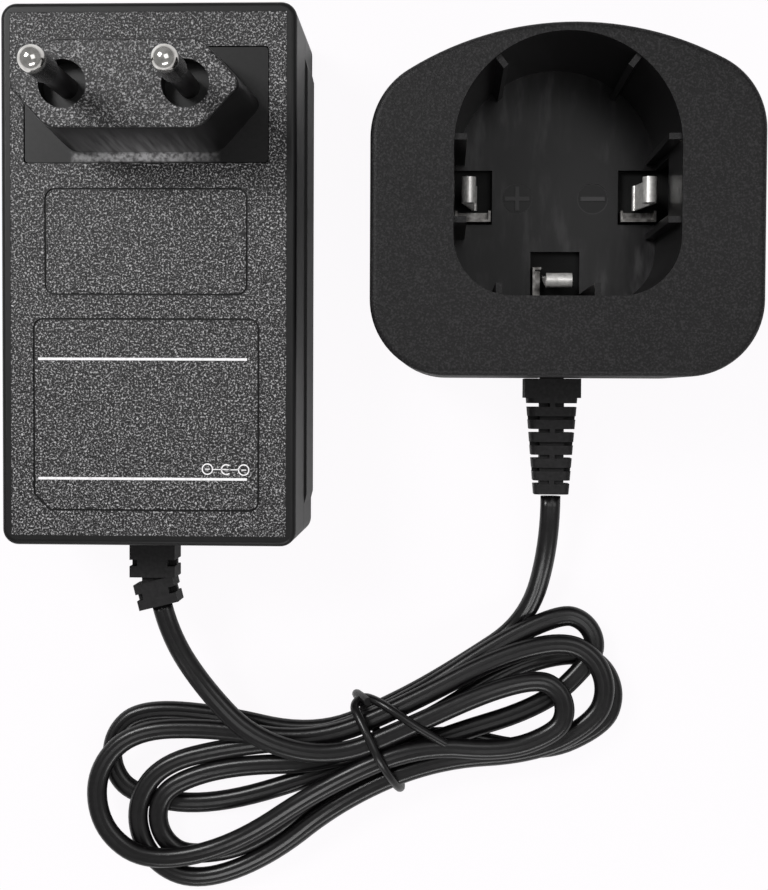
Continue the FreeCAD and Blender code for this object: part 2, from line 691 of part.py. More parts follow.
screws = []
for bx in (-1, 1):
    for by in (boss_low_y, boss_high_y):
        place = (cradle_x + bx * boss_x, cradle_y + by)
        screw = post(*place, 0.1, screw_head[0], screw_head[1] - 0.1)
        screw = screw.fuse(post(*place, 0.5, screw_radius - 0.02, screw_length))
        for turn in (0, 90):
            slot = box(0, 0, 0, 2 * screw_head[0] * 0.6, 0.6, 0.6)
            slot.rotate(V(0, 0, 0), V(0, 0, 1), turn)
            slot.translate(V(*place, 0))
            screw = screw.cut(slot)
        screws.append(screw)
nodes["base_screws"] = Part.makeCompound(screws)

# Cradle circuit board, with its small parts beside the cup
cradle_board_shape = box(cradle_x, contact_y - 5, cradle_board_low, *cradle_board)
for bx in (-1, 1):
    for by in (boss_low_y, boss_high_y):
        cradle_board_shape = cradle_board_shape.cut(post(cradle_x + bx * boss_x, cradle_y + by,
                                                         cradle_board_low - 1, boss_radius + 0.6, 4))
nodes["cradle_board"] = cradle_board_shape
side_part_x = cradle_x + cup_width / 2 + cup_wall + 2.2
side_part_y = contact_y - 14
diode_middle = cradle_board_top + diode[0] / 2
nodes["cradle_diode"] = rod((side_part_x, side_part_y, diode_middle),
                            (side_part_x, side_part_y + diode[1], diode_middle), diode[0] / 2)
left_part_x = 2 * cradle_x - side_part_x
resistor_middle = cradle_board_top + resistor[0] / 2
nodes["cradle_resistor"] = rod((left_part_x, side_part_y, resistor_middle),
                               (left_part_x, side_part_y + resistor[1], resistor_middle), resistor[0] / 2)

# Cradle leads from the strain relief to the board
c_leads = []
for side in (-1, 1):
    lead_x = c_relief_x + side * lead_diameter * 0.6
    lead_y = cradle_front + cradle_wall + relief_plug
    top = cradle_relief_height
    upright = rod((lead_x, lead_y + 1.5, cradle_board_top), (lead_x, lead_y + 1.5, top), lead_diameter / 2)
    level = rod((lead_x, lead_y + 1.5, top), (lead_x, lead_y, top), lead_diameter / 2)
    c_leads.append(upright.fuse(level).fuse(Part.makeSphere(lead_diameter / 2, V(lead_x, lead_y + 1.5, top))))
nodes["cradle_leads"] = c_leads[0].fuse(c_leads[1])


def contact(name, x, y, turn, standoff, window):
    """A fixed folded bracket and the springy leaf beside it; the leaf presses on the battery's stem.

    Made at the origin with the wall at x = 0 and the cup towards +x, then turned and moved.
    """
    foot_z = cradle_board_top + leaf_foot + 0.05
    sheet = bracket_thick
    deep = window_in - cup_draft - running_gap
    span = window / 2 - leaf_width / 2 - bracket_gap - running_gap
    side_y = -leaf_width / 2 - bracket_gap - span / 2
    inner = standoff - leaf_lean
    bracket = box(deep / 2, side_y, cradle_board_top, deep, span, bracket_height)
    bracket = bracket.cut(box(deep / 2, side_y + sheet, cradle_board_top + sheet,
                              deep - 2 * sheet, span, bracket_height))
    nodes["contact_bracket_" + name] = bracket
    heel = Part.makeCylinder(leaf_foot, leaf_width, V(standoff, -leaf_width / 2, foot_z), V(0, 1, 0))
    top_z = foot_z + leaf_height
    half = leaf_thick / 2
    lean = math.atan2(leaf_lean, leaf_height)
    strip = box(0, 0, 0, leaf_thick, leaf_width, math.hypot(leaf_lean, leaf_height))
    strip.rotate(V(0, 0, 0), V(0, 1, 0), -math.degrees(lean))
    strip.translate(V(standoff, 0, foot_z))
    roll_x = inner + leaf_roll - half
    roll = Part.makeCylinder(leaf_roll, leaf_width, V(roll_x, -leaf_width / 2, top_z), V(0, 1, 0))
    bore = Part.makeCylinder(leaf_roll - leaf_thick, leaf_width + 2,
                             V(roll_x, -leaf_width / 2 - 1, top_z), V(0, 1, 0))
    mouth_cut = box(roll_x, 0, top_z - 2 * leaf_roll, leaf_roll, leaf_width + 1, 2 * leaf_roll)
    leaf = heel.fuse(strip).fuse(roll).cut(bore).cut(mouth_cut.common(bore))
    nodes["contact_leaf_" + name] = leaf
    for shape in (bracket, leaf):
        shape.rotate(V(0, 0, 0), V(0, 0, 1), turn)
        shape.translate(V(x, y, 0))


contact("left", cradle_x - half_cup + cup_draft, contact_y, 0, leaf_standoff, window_span)
contact("right", cradle_x + half_cup - cup_draft, contact_y, 180, leaf_standoff, window_span)
contact("bottom", bottom_x, cup_low + cup_draft, 90, bottom_leaf_standoff, bottom_window_span)
right_bracket = nodes["contact_bracket_right"]
nodes["contact_bracket_right"] = right_bracket.mirror(V(0, contact_y, 0), V(0, 1, 0))
bottom_bracket = nodes["contact_bracket_bottom"]
nodes["contact_bracket_bottom"] = bottom_bracket.mirror(V(bottom_x, 0, 0), V(1, 0, 0))

# Cradle strain relief: a collar on the wall and a slotted taper round the cord
collar_y = cradle_front - seat_gap
collar = box(c_relief_x, collar_y - cradle_collar[1] / 2, cradle_relief_height - cradle_collar[2] / 2,
             cradle_collar[0], cradle_collar[1], cradle_collar[2])
c_neck = box(c_relief_x, cradle_front + cradle_wall / 2, cradle_relief_height - relief_neck / 2,
             relief_neck, cradle_wall + 2 * seat_gap + 1, relief_neck)
c_flange = box(c_relief_x, cradle_front + cradle_wall + relief_plug / 2,
               cradle_relief_height - relief_neck / 2 - 1, relief_block[0], relief_plug - 2 * seat_gap,
               relief_neck + 2)
taper_y = collar_y - cradle_collar[1]


def taper_wire(width, y):
    depth = width * 0.82
    turned = rounded_wire(0, 0, 0, width, depth, width * 0.16)
    turned.rotate(V(0, 0, 0), V(1, 0, 0), 90)
    turned.translate(V(c_relief_x, y, cradle_relief_height))
    return turned


taper = Part.makeLoft([taper_wire(cradle_taper_start, taper_y + 0.5),
                       taper_wire(cradle_taper_end, taper_y - cradle_taper_length)], True, True)
pitch = cradle_taper_length / (cradle_taper_slots + 0.5)
for index in range(cradle_taper_slots):
    y = taper_y - pitch * (index + 0.55)
    share = (taper_y - y) / cradle_taper_length
    width = cradle_taper_start + (cradle_taper_end - cradle_taper_start) * share
    web = relief_neck + 0.2
    cutter = box(c_relief_x, y, 0, width + 4, pitch * 0.28, 2 * cradle_relief_height)
    keep = box(c_relief_x, y, cradle_relief_height - web / 2, web, pitch, web)
    bridge_web = box(c_relief_x, y, 0, 0.9, pitch, 2 * cradle_relief_height)
    side_web = box(c_relief_x, y, cradle_relief_height - 0.5, width + 4, pitch, 1.0)
    taper = taper.cut(cutter.cut(keep).cut(bridge_web if index % 2 == 0 else side_web))
cradle_relief = collar.fuse([c_neck, c_flange, taper])
for side in (-1, 1):
    lead_x = c_relief_x + side * lead_diameter * 0.6
    lead_hole = rod((lead_x, cradle_front + cradle_wall - 1, cradle_relief_height),
                    (lead_x, cradle_front + cradle_wall + relief_plug + 1, cradle_relief_height),
                    lead_diameter / 2 + 0.05)
    cradle_relief = cradle_relief.cut(lead_hole)
nodes["cradle_strain_relief"] = cradle_relief


def tangent_arc(a, corner, b):
    """The arc that leaves a towards corner and arrives at b, both the same distance from corner."""
    into = (corner - a).normalize()
    out = (b - corner).normalize()
    turn = into.getAngle(out)
    radius = (corner - a).Length / math.tan(turn / 2)
    inward = (out - into).normalize()
    middle = corner + inward * (radius / math.cos(turn / 2) - radius)
    return arc(a, middle, b), radius


def tube(path, radius):
    first = path.OrderedEdges[0]
    start = first.valueAt(first.FirstParameter)
    along = first.tangentAt(first.FirstParameter)
    face = Part.Wire(Part.makeCircle(radius, start, along))
    return path.makePipeShell([face], True, False)


def cord_run(points, name):
    """A free stretch of cord: straight runs joined by arcs as large as the runs allow."""
    points = [V(*p) for p in points]
    edges = []
    last = points[0]
    tightest = 1e9
    for before, corner, after in zip(points, points[1:], points[2:]):
        reach = 0.45 * min((corner - before).Length, (after - corner).Length)
        a = corner + (before - corner).normalize() * reach
        b = corner + (after - corner).normalize() * reach
        bend, radius = tangent_arc(a, corner, b)
        edges.append(Part.makeLine(last, a))
        edges.append(bend)
        tightest = min(tightest, radius)
        last = b
    edges.append(Part.makeLine(last, points[-1]))
    path = Part.Wire(edges)
    solid = tube(path, cord_diameter / 2)
    section = math.pi * cord_diameter ** 2 / 4
    print(name, "length", round(path.Length, 1), "tightest radius", round(tightest, 1),
          "volume over section times length", round(solid.Volume / section / path.Length, 4))
    nodes[name] = solid
    return path.Length


def biarc(p, tp, q, tq):
    """Two tangent arcs from p to q with the given directions at the ends."""
    span = q - p
    both = tp + tq
    free = 4 - both.dot(both)
    if free < 1e-6:
        reach = span.dot(span) / (2 * span.dot(both))
    else:
        reach = (-span.dot(both) + math.sqrt(span.dot(both) ** 2 + free * span.dot(span))) / free
    first = p + tp * reach
    second = q - tq * reach
    join = (first + second) * 0.5
    pieces = []
    for a, corner, b in ((p, first, join), (join, second, q)):
        if (corner - a).normalize().getAngle((b - corner).normalize()) < 1e-4:
            pieces.append(Part.makeLine(a, b))
        else:
            pieces.append(tangent_arc(a, corner, b)[0])
    return pieces


# The tied hank: four loops each side of the waist, on quarter turns and biarcs.
# Each loop crosses over or under the next; a level is one cord and one gap higher than the last.
hank_step = cord_diameter + hank_turn_gap
waist_lift = tie_wire + 1.5 * tie_clear
stations = []


def level_height(level):
    return cord_diameter / 2 + hank_step * level


def station(x, y, z, heading):
    turned = math.radians(heading)
    stations.append((V(hank_x + x, hank_y + y, z), V(math.cos(turned), math.sin(turned), 0)))


def strand(across, level, heading):
    """One passage through the waist, which the tie below lifts off the table."""
    turned = math.radians(hank_angle)
    offset = across * waist_pitch
    station(-offset * math.sin(turned), offset * math.cos(turned), level_height(level) + waist_lift, heading)


def loop(x, y, radius, first, last, level):
    """A loop's round end, two quarter turns clockwise from the angle first to the angle last."""
    for angle in (first, (first + last) / 2, last):
        turned = math.radians(angle)
        station(x + radius * math.cos(turned), y + radius * math.sin(turned), level_height(level), angle - 90)


rightwards = hank_angle
leftwards = hank_angle + 180
station(-26.6, 7.1, level_height(3.3), -46.0)
strand(0.45, 3, rightwards)
loop(28.1, 7.8, 5.1, 105, -68, 3)
strand(-0.45, 3, leftwards)
loop(-38.9, -9.1, 11.8, 282, 93, 2)
strand(1.3, 2, rightwards)
loop(32.5, 11.0, 8.2, 105, -61, 2)
strand(-1.45, 2, leftwards)
loop(-32.6, -13.9, 11.15, 290, 105, 1)
strand(1.3, 1, rightwards)
loop(33.8, 18.5, 5.4, 115, -45, 1)
strand(-0.75, 1, leftwards)
loop(-33.0, -13.7, 7.1, 281, 108, 1)
strand(0.1, 1, rightwards)
loop(35.2, 8.9, 7.65, 105, -65, 0)
strand(-0.35, 0, leftwards)
loop(-40.9, -3.0, 8.16, 262, 88, 0)
strand(1.35, 0, rightwards)
station(17.2, 15.5, level_height(0), 34.0)
hank_start = stations[0][0] - stations[0][1] * cord_diameter
hank_end = stations[-1][0] + stations[-1][1] * cord_diameter
hank_edges = [Part.makeLine(hank_start, stations[0][0])]
for (p, tp), (q, tq) in zip(stations, stations[1:]):
    hank_edges += biarc(p, tp, q, tq)
hank_edges.append(Part.makeLine(stations[-1][0], hank_end))
hank_path = Part.Wire(hank_edges)
nodes["cord_hank"] = tube(hank_path, cord_diameter / 2)


def least_gap(path, step):
    """The smallest clear distance between parts of a tube that are not next to each other."""
    points = path.discretize(Distance=step)
    skip = int(3 * cord_diameter / step)
    least = 1e9
    for i, p in enumerate(points):
        for q in points[i + skip:]:
            least = min(least, p.distanceToPoint(q))
    return least - cord_diameter


print("hank length", round(hank_path.Length, 1), "least gap", round(least_gap(hank_path, 1.2), 2),
      "volume over section times length",
      round(nodes["cord_hank"].Volume / (math.pi * cord_diameter ** 2 / 4) / hank_path.Length, 4))


def eased(start, way, end, end_way, count):
    """Corner points for a stretch that leaves along way and arrives along end_way."""
    lead = 0.9 * (end - start).Length / (count + 2)
    a = start + way * lead
    d = end - end_way * lead
    reach = (d - a).Length / 3
    b = a + way * reach
    c = d - end_way * reach
    points = [start, a]
    for index in range(1, count + 1):
        t = index / (count + 1)
        u = 1 - t
        points.append(a * u ** 3 + b * 3 * t * u ** 2 + c * 3 * t ** 2 * u + d * t ** 3)
    return points + [d, end]


# Free stretches of the cord: from the adapter to the hank, and from the hank to the cradle
relief_way = V(math.sin(relief_turn), -math.cos(relief_turn), 0)
cord_start = bend_point + relief_way * relief_end_block[1]
run_length = cord_run(eased(cord_start, relief_way, hank_start, stations[0][1], 2), "cord_adapter_run")
cradle_start = V(c_relief_x, taper_y - cradle_taper_length, cradle_relief_height)
run_length += cord_run(eased(hank_end, stations[-1][1], cradle_start, V(0, 1, 0), 3), "cord_cradle_run")
print("cord length in all", round(run_length + hank_path.Length, 1))

# The tie: a bent wire round the waist of the hank, tight on the topmost strands
hull = cord_diameter / 2 + tie_clear + tie_wire / 2
tie_low = level_height(0) + waist_lift - hull
shoulder_z = level_height(2) + waist_lift
crown_z = level_height(3) + waist_lift
tie_corners = []
for side, shoulder_v in ((-1, 1.45 * waist_pitch), (1, 1.35 * waist_pitch)):
    crown_v = 0.45 * waist_pitch
    slope = math.atan2(crown_z - shoulder_z, shoulder_v - crown_v)
    shoulder = (side * (shoulder_v + hull), shoulder_z + hull * math.tan(math.pi / 4 - slope / 2))
    crown = (side * (crown_v + hull * math.tan(slope / 2)), crown_z + hull)
    floor = (side * (shoulder_v + hull), tie_low)
    tie_corners.append([floor, shoulder, crown])
around = tie_corners[1] + tie_corners[0][::-1]
tie_turn = math.radians(hank_angle)
tie_points = [V(hank_x - v * math.sin(tie_turn), hank_y + v * math.cos(tie_turn), z) for v, z in around]
nodes["cord_tie"] = tube(rounded_polygon(tie_points, [hull] * len(tie_points)), tie_wire / 2)

for name, shape in nodes.items():
    if not shape.isValid() or shape.Volume <= 0:
        print("CHECK", name, shape.isValid(), round(shape.Volume, 2))
    shape.exportStep("parts/" + name + ".step")
hard = [shape for name, shape in nodes.items() if not name.startswith("cord_")]
body = Part.makeCompound(hard).optimalBoundingBox(False)
print(len(nodes), "nodes; housings' box x", round(body.XMin, 2), round(body.XMax, 2), "y",
      round(body.YMin, 2), round(body.YMax, 2), "z", round(body.ZMin, 2), round(body.ZMax, 2))
print("leaf hinges", round(cradle_x - half_cup + cup_draft + leaf_standoff, 3),
      round(cradle_x + half_cup - cup_draft - leaf_standoff, 3),
      round(cup_low + cup_draft + bottom_leaf_standoff, 3), "lines", round(contact_y, 3),
      round(bottom_x, 3), "height", round(cradle_board_top + leaf_foot + 0.05, 3))
print("pins", round(plug_x - pin_spacing / 2, 3), round(plug_x + pin_spacing / 2, 3), round(plug_y, 3),
      "cup", round(cradle_x, 3), round(cup_low, 3), round(cup_round_y, 3), "undersides",
      round(adapter_y, 3), round(cradle_y, 3), round(adapter_x, 3))
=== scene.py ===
"""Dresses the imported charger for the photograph's view: camera, light, cord, finishes and detail."""
import bmesh
import bpy
import math
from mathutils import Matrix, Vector


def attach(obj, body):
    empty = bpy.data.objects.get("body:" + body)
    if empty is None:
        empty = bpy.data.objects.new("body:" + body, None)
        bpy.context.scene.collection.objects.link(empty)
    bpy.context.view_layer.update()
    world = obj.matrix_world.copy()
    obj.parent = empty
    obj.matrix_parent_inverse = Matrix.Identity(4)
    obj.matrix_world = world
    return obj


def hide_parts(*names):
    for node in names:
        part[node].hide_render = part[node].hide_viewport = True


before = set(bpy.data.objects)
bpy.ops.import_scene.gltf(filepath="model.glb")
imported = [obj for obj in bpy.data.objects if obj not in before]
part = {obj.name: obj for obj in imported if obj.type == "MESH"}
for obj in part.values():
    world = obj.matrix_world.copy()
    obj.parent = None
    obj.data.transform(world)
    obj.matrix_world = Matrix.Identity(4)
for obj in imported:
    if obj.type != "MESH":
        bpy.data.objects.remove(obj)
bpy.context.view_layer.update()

# Camera
# Almost straight down from 0.28 m, tilted by about two degrees each way, with a lens that fills the
# picture with the charger.
camera = bpy.data.objects.new("camera", bpy.data.cameras.new("camera"))
bpy.context.scene.collection.objects.link(camera)
camera.location = (0.0112, -0.01275, 0.2795)
camera.rotation_euler = [math.radians(a) for a in (-1.933, 2.250, 0.26)]
camera.data.lens = 61.73
camera.data.sensor_width = 36.0
camera.data.clip_start = 0.01
bpy.context.scene.camera = camera
bpy.context.scene.view_settings.view_transform = "Standard"

# Floor and light
# A white table top under even studio light, with a weak key light up and to the left. The table
# shows almost its own white to the camera, and catches the charger's shadow and reflection.
TABLE_HALF = 2.0
TABLE_DROP = 0.0001
TABLE_GLOW = 0.95
SKY_LIGHT = 0.3
SKY_SEEN = 1.0


def colour(code):
    """A hex sRGB colour as linear RGBA."""
    values = [int(code[i:i + 2], 16) / 255 for i in (0, 2, 4)]
    return [v / 12.92 if v <= 0.04045 else ((v + 0.055) / 1.055) ** 2.4 for v in values] + [1.0]


def node(tree, kind, props=None, **inputs):
    """Adds a node; an input is a value or the socket that feeds it."""
    new = tree.nodes.new("ShaderNode" + kind)
    for name, value in (props or {}).items():
        setattr(new, name, value)
    for name, value in inputs.items():
        socket = new.inputs[int(name[1:])] if name[1:].isdigit() else new.inputs[name.replace("_", " ")]
        if isinstance(value, bpy.types.NodeSocket):
            tree.links.new(value, socket)
        else:
            socket.default_value = value
    return new


def material(name, base, rough, metallic=0.0, shine=0.5):
    """A Principled material; returns it with its tree, shader and object coordinates."""
    made = bpy.data.materials.new(name)
    made.use_nodes = True
    tree = made.node_tree
    shader = tree.nodes["Principled BSDF"]
    shader.inputs["Base Color"].default_value = colour(base)
    shader.inputs["Roughness"].default_value = rough
    shader.inputs["Metallic"].default_value = metallic
    shader.inputs["Specular IOR Level"].default_value = shine
    spot = node(tree, "TexCoord").outputs["Object"]
    return made, tree, shader, spot


floor_mesh = bpy.data.meshes.new("floor")
flat = bmesh.new()
bmesh.ops.create_grid(flat, x_segments=1, y_segments=1, size=TABLE_HALF)
bmesh.ops.translate(flat, verts=flat.verts, vec=(0, 0, -TABLE_DROP))
flat.to_mesh(floor_mesh)
flat.free()
floor = bpy.data.objects.new("floor", floor_mesh)
bpy.context.scene.collection.objects.link(floor)
white, tree, shader, spot = material("white_table", "F4F3F4", 0.7)
seen = node(tree, "LightPath").outputs["Is Camera Ray"]
glow = node(tree, "Emission", Color=colour("FFFDFF"), Strength=1.0)
veil = node(tree, "MixShader", Fac=TABLE_GLOW, _1=shader.outputs[0], _2=glow.outputs[0])
only = node(tree, "MixShader", Fac=seen, _1=shader.outputs[0], _2=veil.outputs[0])
tree.links.new(only.outputs[0], tree.nodes["Material Output"].inputs["Surface"])
floor_mesh.materials.append(white)

world = bpy.data.worlds.new("studio")
bpy.context.scene.world = world
world.use_nodes = True
sky = world.node_tree
back = sky.nodes["Background"]
back.inputs["Color"].default_value = colour("FFFFFF")
looked_at = node(sky, "LightPath").outputs["Is Camera Ray"]
strength = node(sky, "MapRange", Value=looked_at, To_Min=SKY_LIGHT, To_Max=SKY_SEEN).outputs[0]
sky.links.new(strength, back.inputs["Strength"])


def area_light(name, place, aim, size, power):
    """A rectangular lamp at place that faces aim."""
    lamp = bpy.data.lights.new(name, "AREA")
    lamp.shape = "RECTANGLE"
    lamp.size, lamp.size_y = size
    lamp.energy = power
    obj = bpy.data.objects.new(name, lamp)
    bpy.context.scene.collection.objects.link(obj)
    obj.location = place
    obj.rotation_euler = (Vector(aim) - Vector(place)).to_track_quat("-Z", "Y").to_euler()
    return obj


area_light("key", (-0.35, 0.25, 0.6), (0, 0, 0), (0.22, 0.22), 2.9)
area_light("fill", (0.1, -0.55, 0.45), (0, -0.02, 0), (0.5, 0.12), 1.6)
area_light("top", (0.25, 0.1, 0.7), (0, 0, 0), (0.4, 0.4), 0.9)

# Cord
# One flat two-core cord in soft black plastic. It runs from the adapter into a hank of four loops each
# side of a tied waist, and out under the top right-hand loop to the cradle. Route in mm, heights in m.
MM = 1000
LOBE = 0.00125
LOBE_OFF = 0.00055
LOBE_STEPS = 10
CORD_REST = 0.0014
CORD_LAYER = 0.0026
HANK_X = -0.6
HANK_Y = -76.6
HANK_ANGLE = 24.0
RIGHTWARDS = HANK_ANGLE
LEFTWARDS = HANK_ANGLE + 180
WAIST_PITCH = 4.0
WAIST_LIFT = 0.0012
ROLL = 0.22
ROLL_RATE = 55.0
PARALLEL = 1e-6
stations = []


def level_height(level):
    """The height of the cord's middle on a layer of the hank."""
    return CORD_REST + CORD_LAYER * level


def station(x, y, z, heading):
    """A point that the cord passes, and its heading there in degrees."""
    turned = math.radians(heading)
    stations.append((Vector((x / MM, y / MM, z)), Vector((math.cos(turned), math.sin(turned), 0))))


def strand(across, level, heading):
    """One passage through the waist."""
    turned = math.radians(HANK_ANGLE)
    offset = across * WAIST_PITCH
    station(HANK_X - offset * math.sin(turned), HANK_Y + offset * math.cos(turned),
            level_height(level) + WAIST_LIFT, heading)


def loop(x, y, radius, first, last, level):
    """A loop's round end from the angle first clockwise to the angle last."""
    for angle in (first, (first + last) / 2, last):
        turned = math.radians(angle)
        station(HANK_X + x + radius * math.cos(turned), HANK_Y + y + radius * math.sin(turned),
                level_height(level), angle - 90)


station(-38.19, -50.0, 0.0136, -76.0)
station(-27.2, -69.5, 0.0108, -46.0)
strand(0.45, 3, RIGHTWARDS)
loop(28.3, 7.8, 5.2, 105, -68, 3)
strand(-0.45, 3, LEFTWARDS)
loop(-38.9, -9.1, 11.9, 282, 93, 2)
strand(1.3, 2, RIGHTWARDS)
loop(32.5, 11.0, 8.3, 105, -61, 2)
strand(-1.45, 2, LEFTWARDS)
loop(-32.6, -13.9, 11.2, 290, 105, 1)
strand(1.3, 1, RIGHTWARDS)
loop(33.8, 18.5, 5.4, 115, -45, 1)
strand(-0.75, 1, LEFTWARDS)
loop(-33.0, -13.7, 7.1, 281, 108, 1)
strand(0.1, 1, RIGHTWARDS)
loop(35.2, 8.9, 7.65, 105, -65, 0)
strand(-0.35, 0, LEFTWARDS)
loop(-40.9, -3.0, 8.2, 262, 88, 0)
strand(1.35, 0, RIGHTWARDS)
station(19.8, -58.9, level_height(0), 34.0)
station(30.2, -30.85, 0.008, 90.0)

# Each arc between two stations becomes a pair of control points on their tangents.
control = [stations[0][0]]
for (p, tp), (q, tq) in zip(stations, stations[1:]):
    span = q - p
    both = tp + tq
    free = 4 - both.dot(both)
    if free < PARALLEL:
        reach = span.dot(span) / (2 * span.dot(both))
    else:
        reach = (-span.dot(both) + math.sqrt(span.dot(both) ** 2 + free * span.dot(span))) / free
    control += [p + tp * reach, q - tq * reach]
control.append(stations[-1][0])
line = bpy.data.curves.new("cord_line", "CURVE")
line.dimensions = "3D"
line.resolution_u = 9
spline = line.splines.new("NURBS")
spline.points.add(len(control) - 1)
for point, place in zip(spline.points, control):
    point.co = (*place, 1.0)
spline.order_u = 3
spline.use_endpoint_u = True
guide = bpy.data.objects.new("cord_line", line)
bpy.context.scene.collection.objects.link(guide)
traced = bpy.data.meshes.new_from_object(guide.evaluated_get(bpy.context.evaluated_depsgraph_get()))
path = [v.co.copy() for v in traced.vertices]
bpy.data.objects.remove(guide)

section = []
opening = math.acos(-LOBE_OFF / LOBE)
for side in (1, -1):
    for step in range(LOBE_STEPS + 1):
        angle = -opening + 2 * opening * step / LOBE_STEPS
        section.append((side * (LOBE_OFF + LOBE * math.cos(angle)), side * LOBE * math.sin(angle)))


def sweep(name, path, section, roll):
    """A closed tube of the given section along path; roll gives its turn about the path, in radians."""
    made = bmesh.new()
    rings = []
    run = 0.0
    for index, place in enumerate(path):
        before = path[max(index - 1, 0)]
        after = path[min(index + 1, len(path) - 1)]
        run += (place - before).length
        along = (after - before).normalized()
        across = along.cross(Vector((0, 0, 1))).normalized()
        over = across.cross(along)
        turn = roll(run)
        a = across * math.cos(turn) + over * math.sin(turn)
        b = over * math.cos(turn) - across * math.sin(turn)
        rings.append([made.verts.new(place + a * u + b * v) for u, v in section])
    count = len(section)
    for one, two in zip(rings, rings[1:]):
        for i in range(count):
            made.faces.new((one[i], one[(i + 1) % count], two[(i + 1) % count], two[i]))
    made.faces.new(rings[0][::-1])
    made.faces.new(rings[-1])
    bmesh.ops.recalc_face_normals(made, faces=made.faces)
    mesh = bpy.data.meshes.new(name)
    made.to_mesh(mesh)
    made.free()
    return mesh


def ramp(tree, factor, *stops):
    """A colour ramp through (position, hex) stops."""
    made = node(tree, "ValToRGB", Fac=factor)
    elements = made.color_ramp.elements
    while len(elements) < len(stops):
        elements.new(0.5)
    for element, (place, code) in zip(elements, stops):
        element.position = place
        element.color = colour(code)
    return made.outputs["Color"]


def bumped(tree, shader, height, strength, distance):
    """Feeds a height into the shader's normal; distance in metres."""
    made = node(tree, "Bump", Height=height, Strength=strength, Distance=distance)
    tree.links.new(made.outputs[0], shader.inputs["Normal"])


def piece(name, mesh, made, smooth=True):
    """Links a new mesh piece that rides on the charger."""
    obj = bpy.data.objects.new(name, mesh)
    bpy.context.scene.collection.objects.link(obj)
    mesh.materials.append(made)
    if smooth:
        mesh.polygons.foreach_set("use_smooth", [True] * len(mesh.polygons))
    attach(obj, "charger")
    return obj


cord_black, tree, shader, spot = material("cord_black", "121112", 0.3, shine=0.45)
fine = node(tree, "TexNoise", Vector=spot, Scale=900.0, Detail=3.0)
sheen = ramp(tree, fine.outputs[0], (0.3, "080708"), (0.7, "121112"))
tree.links.new(sheen, shader.inputs["Base Color"])
bumped(tree, shader, fine.outputs[0], 0.15, 0.00005)
cord_mesh = sweep("cord", path, section, lambda run: ROLL * math.sin(run * ROLL_RATE))
cord = piece("cord", cord_mesh, cord_black)
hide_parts("cord_adapter_run", "cord_hank", "cord_cradle_run")

# Tie
# A stiff wire coated in black plastic, wound once round the waist. It is crossed on itself on top and
# keeps one free end. Its route is in mm.
TIE_RADIUS = 0.0008
tie_route = [(11.9, -74.8, 11.0), (8.6, -72.9, 11.2), (5.4, -70.9, 11.5), (1.9, -68.6, 10.9),
             (-1.0, -67.3, 9.4), (-3.2, -67.2, 7.4), (-4.7, -68.5, 9.3), (-3.6, -70.2, 11.0),
             (-1.7, -73.6, 12.4), (0.0, -77.2, 12.6), (1.9, -80.8, 10.6), (3.5, -83.6, 7.6),
             (3.9, -84.3, 4.4), (3.0, -82.6, 1.3), (0.5, -78.0, 0.9), (-1.8, -72.5, 0.9),
             (-3.9, -68.8, 1.4), (-4.6, -67.2, 4.0), (-3.6, -67.0, 7.2), (-2.0, -67.6, 9.9)]
wire = bpy.data.curves.new("tie", "CURVE")
wire.dimensions = "3D"
wire.resolution_u = 8
wire.bevel_depth = TIE_RADIUS
wire.bevel_resolution = 4
wire.use_fill_caps = True
bend = wire.splines.new("NURBS")
bend.points.add(len(tie_route) - 1)
for point, place in zip(bend.points, tie_route):
    point.co = (*(value / MM for value in place), 1.0)
bend.order_u = 3
bend.use_endpoint_u = True
tie = bpy.data.objects.new("cord_tie_wire", wire)
bpy.context.scene.collection.objects.link(tie)
tie_black, tree, shader, spot = material("tie_black", "0C0B0C", 0.3, shine=0.45)
soft_spots = node(tree, "TexNoise", Vector=spot, Scale=500.0)
bumped(tree, shader, soft_spots.outputs[0], 0.1, 0.00005)
wire.materials.append(tie_black)
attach(tie, "charger")
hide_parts("cord_tie")

# Adapter casing
# Two shells moulded in hard black plastic and closed along the parting groove. The face has a coarse
# grain within a smooth rolled border, its grain flecked with painted glints, and the sides are smooth.
FACE_BORDER = 0.0016
FACE_SKIN = 0.00022
FACE_SOFT = 0.00008
GRAIN = {"Scale": 3300.0, "Detail": 2.0, "Roughness": 0.6, "Distortion": 0.5}


def box(name):
    """The low corner, the high corner and the middle of a CAD node."""
    places = [part[name].matrix_world @ vertex.co for vertex in part[name].data.vertices]
    low = Vector([min(values) for values in zip(*places)])
    high = Vector([max(values) for values in zip(*places)])
    return low, high, (low + high) / 2


def inside(tree, spot, middle, half, soft):
    """1 inside a block of half sizes half round middle, falling to 0 over soft; metres."""
    away = node(tree, "VectorMath", {"operation": "SUBTRACT"}, _0=spot, _1=middle).outputs[0]
    away = node(tree, "VectorMath", {"operation": "ABSOLUTE"}, _0=away).outputs[0]
    away = node(tree, "VectorMath", {"operation": "SUBTRACT"}, _0=away, _1=half).outputs[0]
    x, y, z = node(tree, "SeparateXYZ", Vector=away).outputs
    most = node(tree, "Math", {"operation": "MAXIMUM"}, _0=x, _1=y).outputs[0]
    most = node(tree, "Math", {"operation": "MAXIMUM"}, _0=most, _1=z).outputs[0]
    return node(tree, "MapRange", Value=most, From_Min=-soft, From_Max=0.0, To_Min=1.0,
                To_Max=0.0).outputs[0]


def mixed(tree, factor, a, b):
    """Colour a where factor is 0 and b where it is 1; each a hex code or a socket."""
    made = node(tree, "Mix", {"data_type": "RGBA"}, Factor=factor)
    for socket, value in ((made.inputs[6], a), (made.inputs[7], b)):
        if isinstance(value, bpy.types.NodeSocket):
            tree.links.new(value, socket)
        else:
            socket.default_value = colour(value)
    return made.outputs[2]


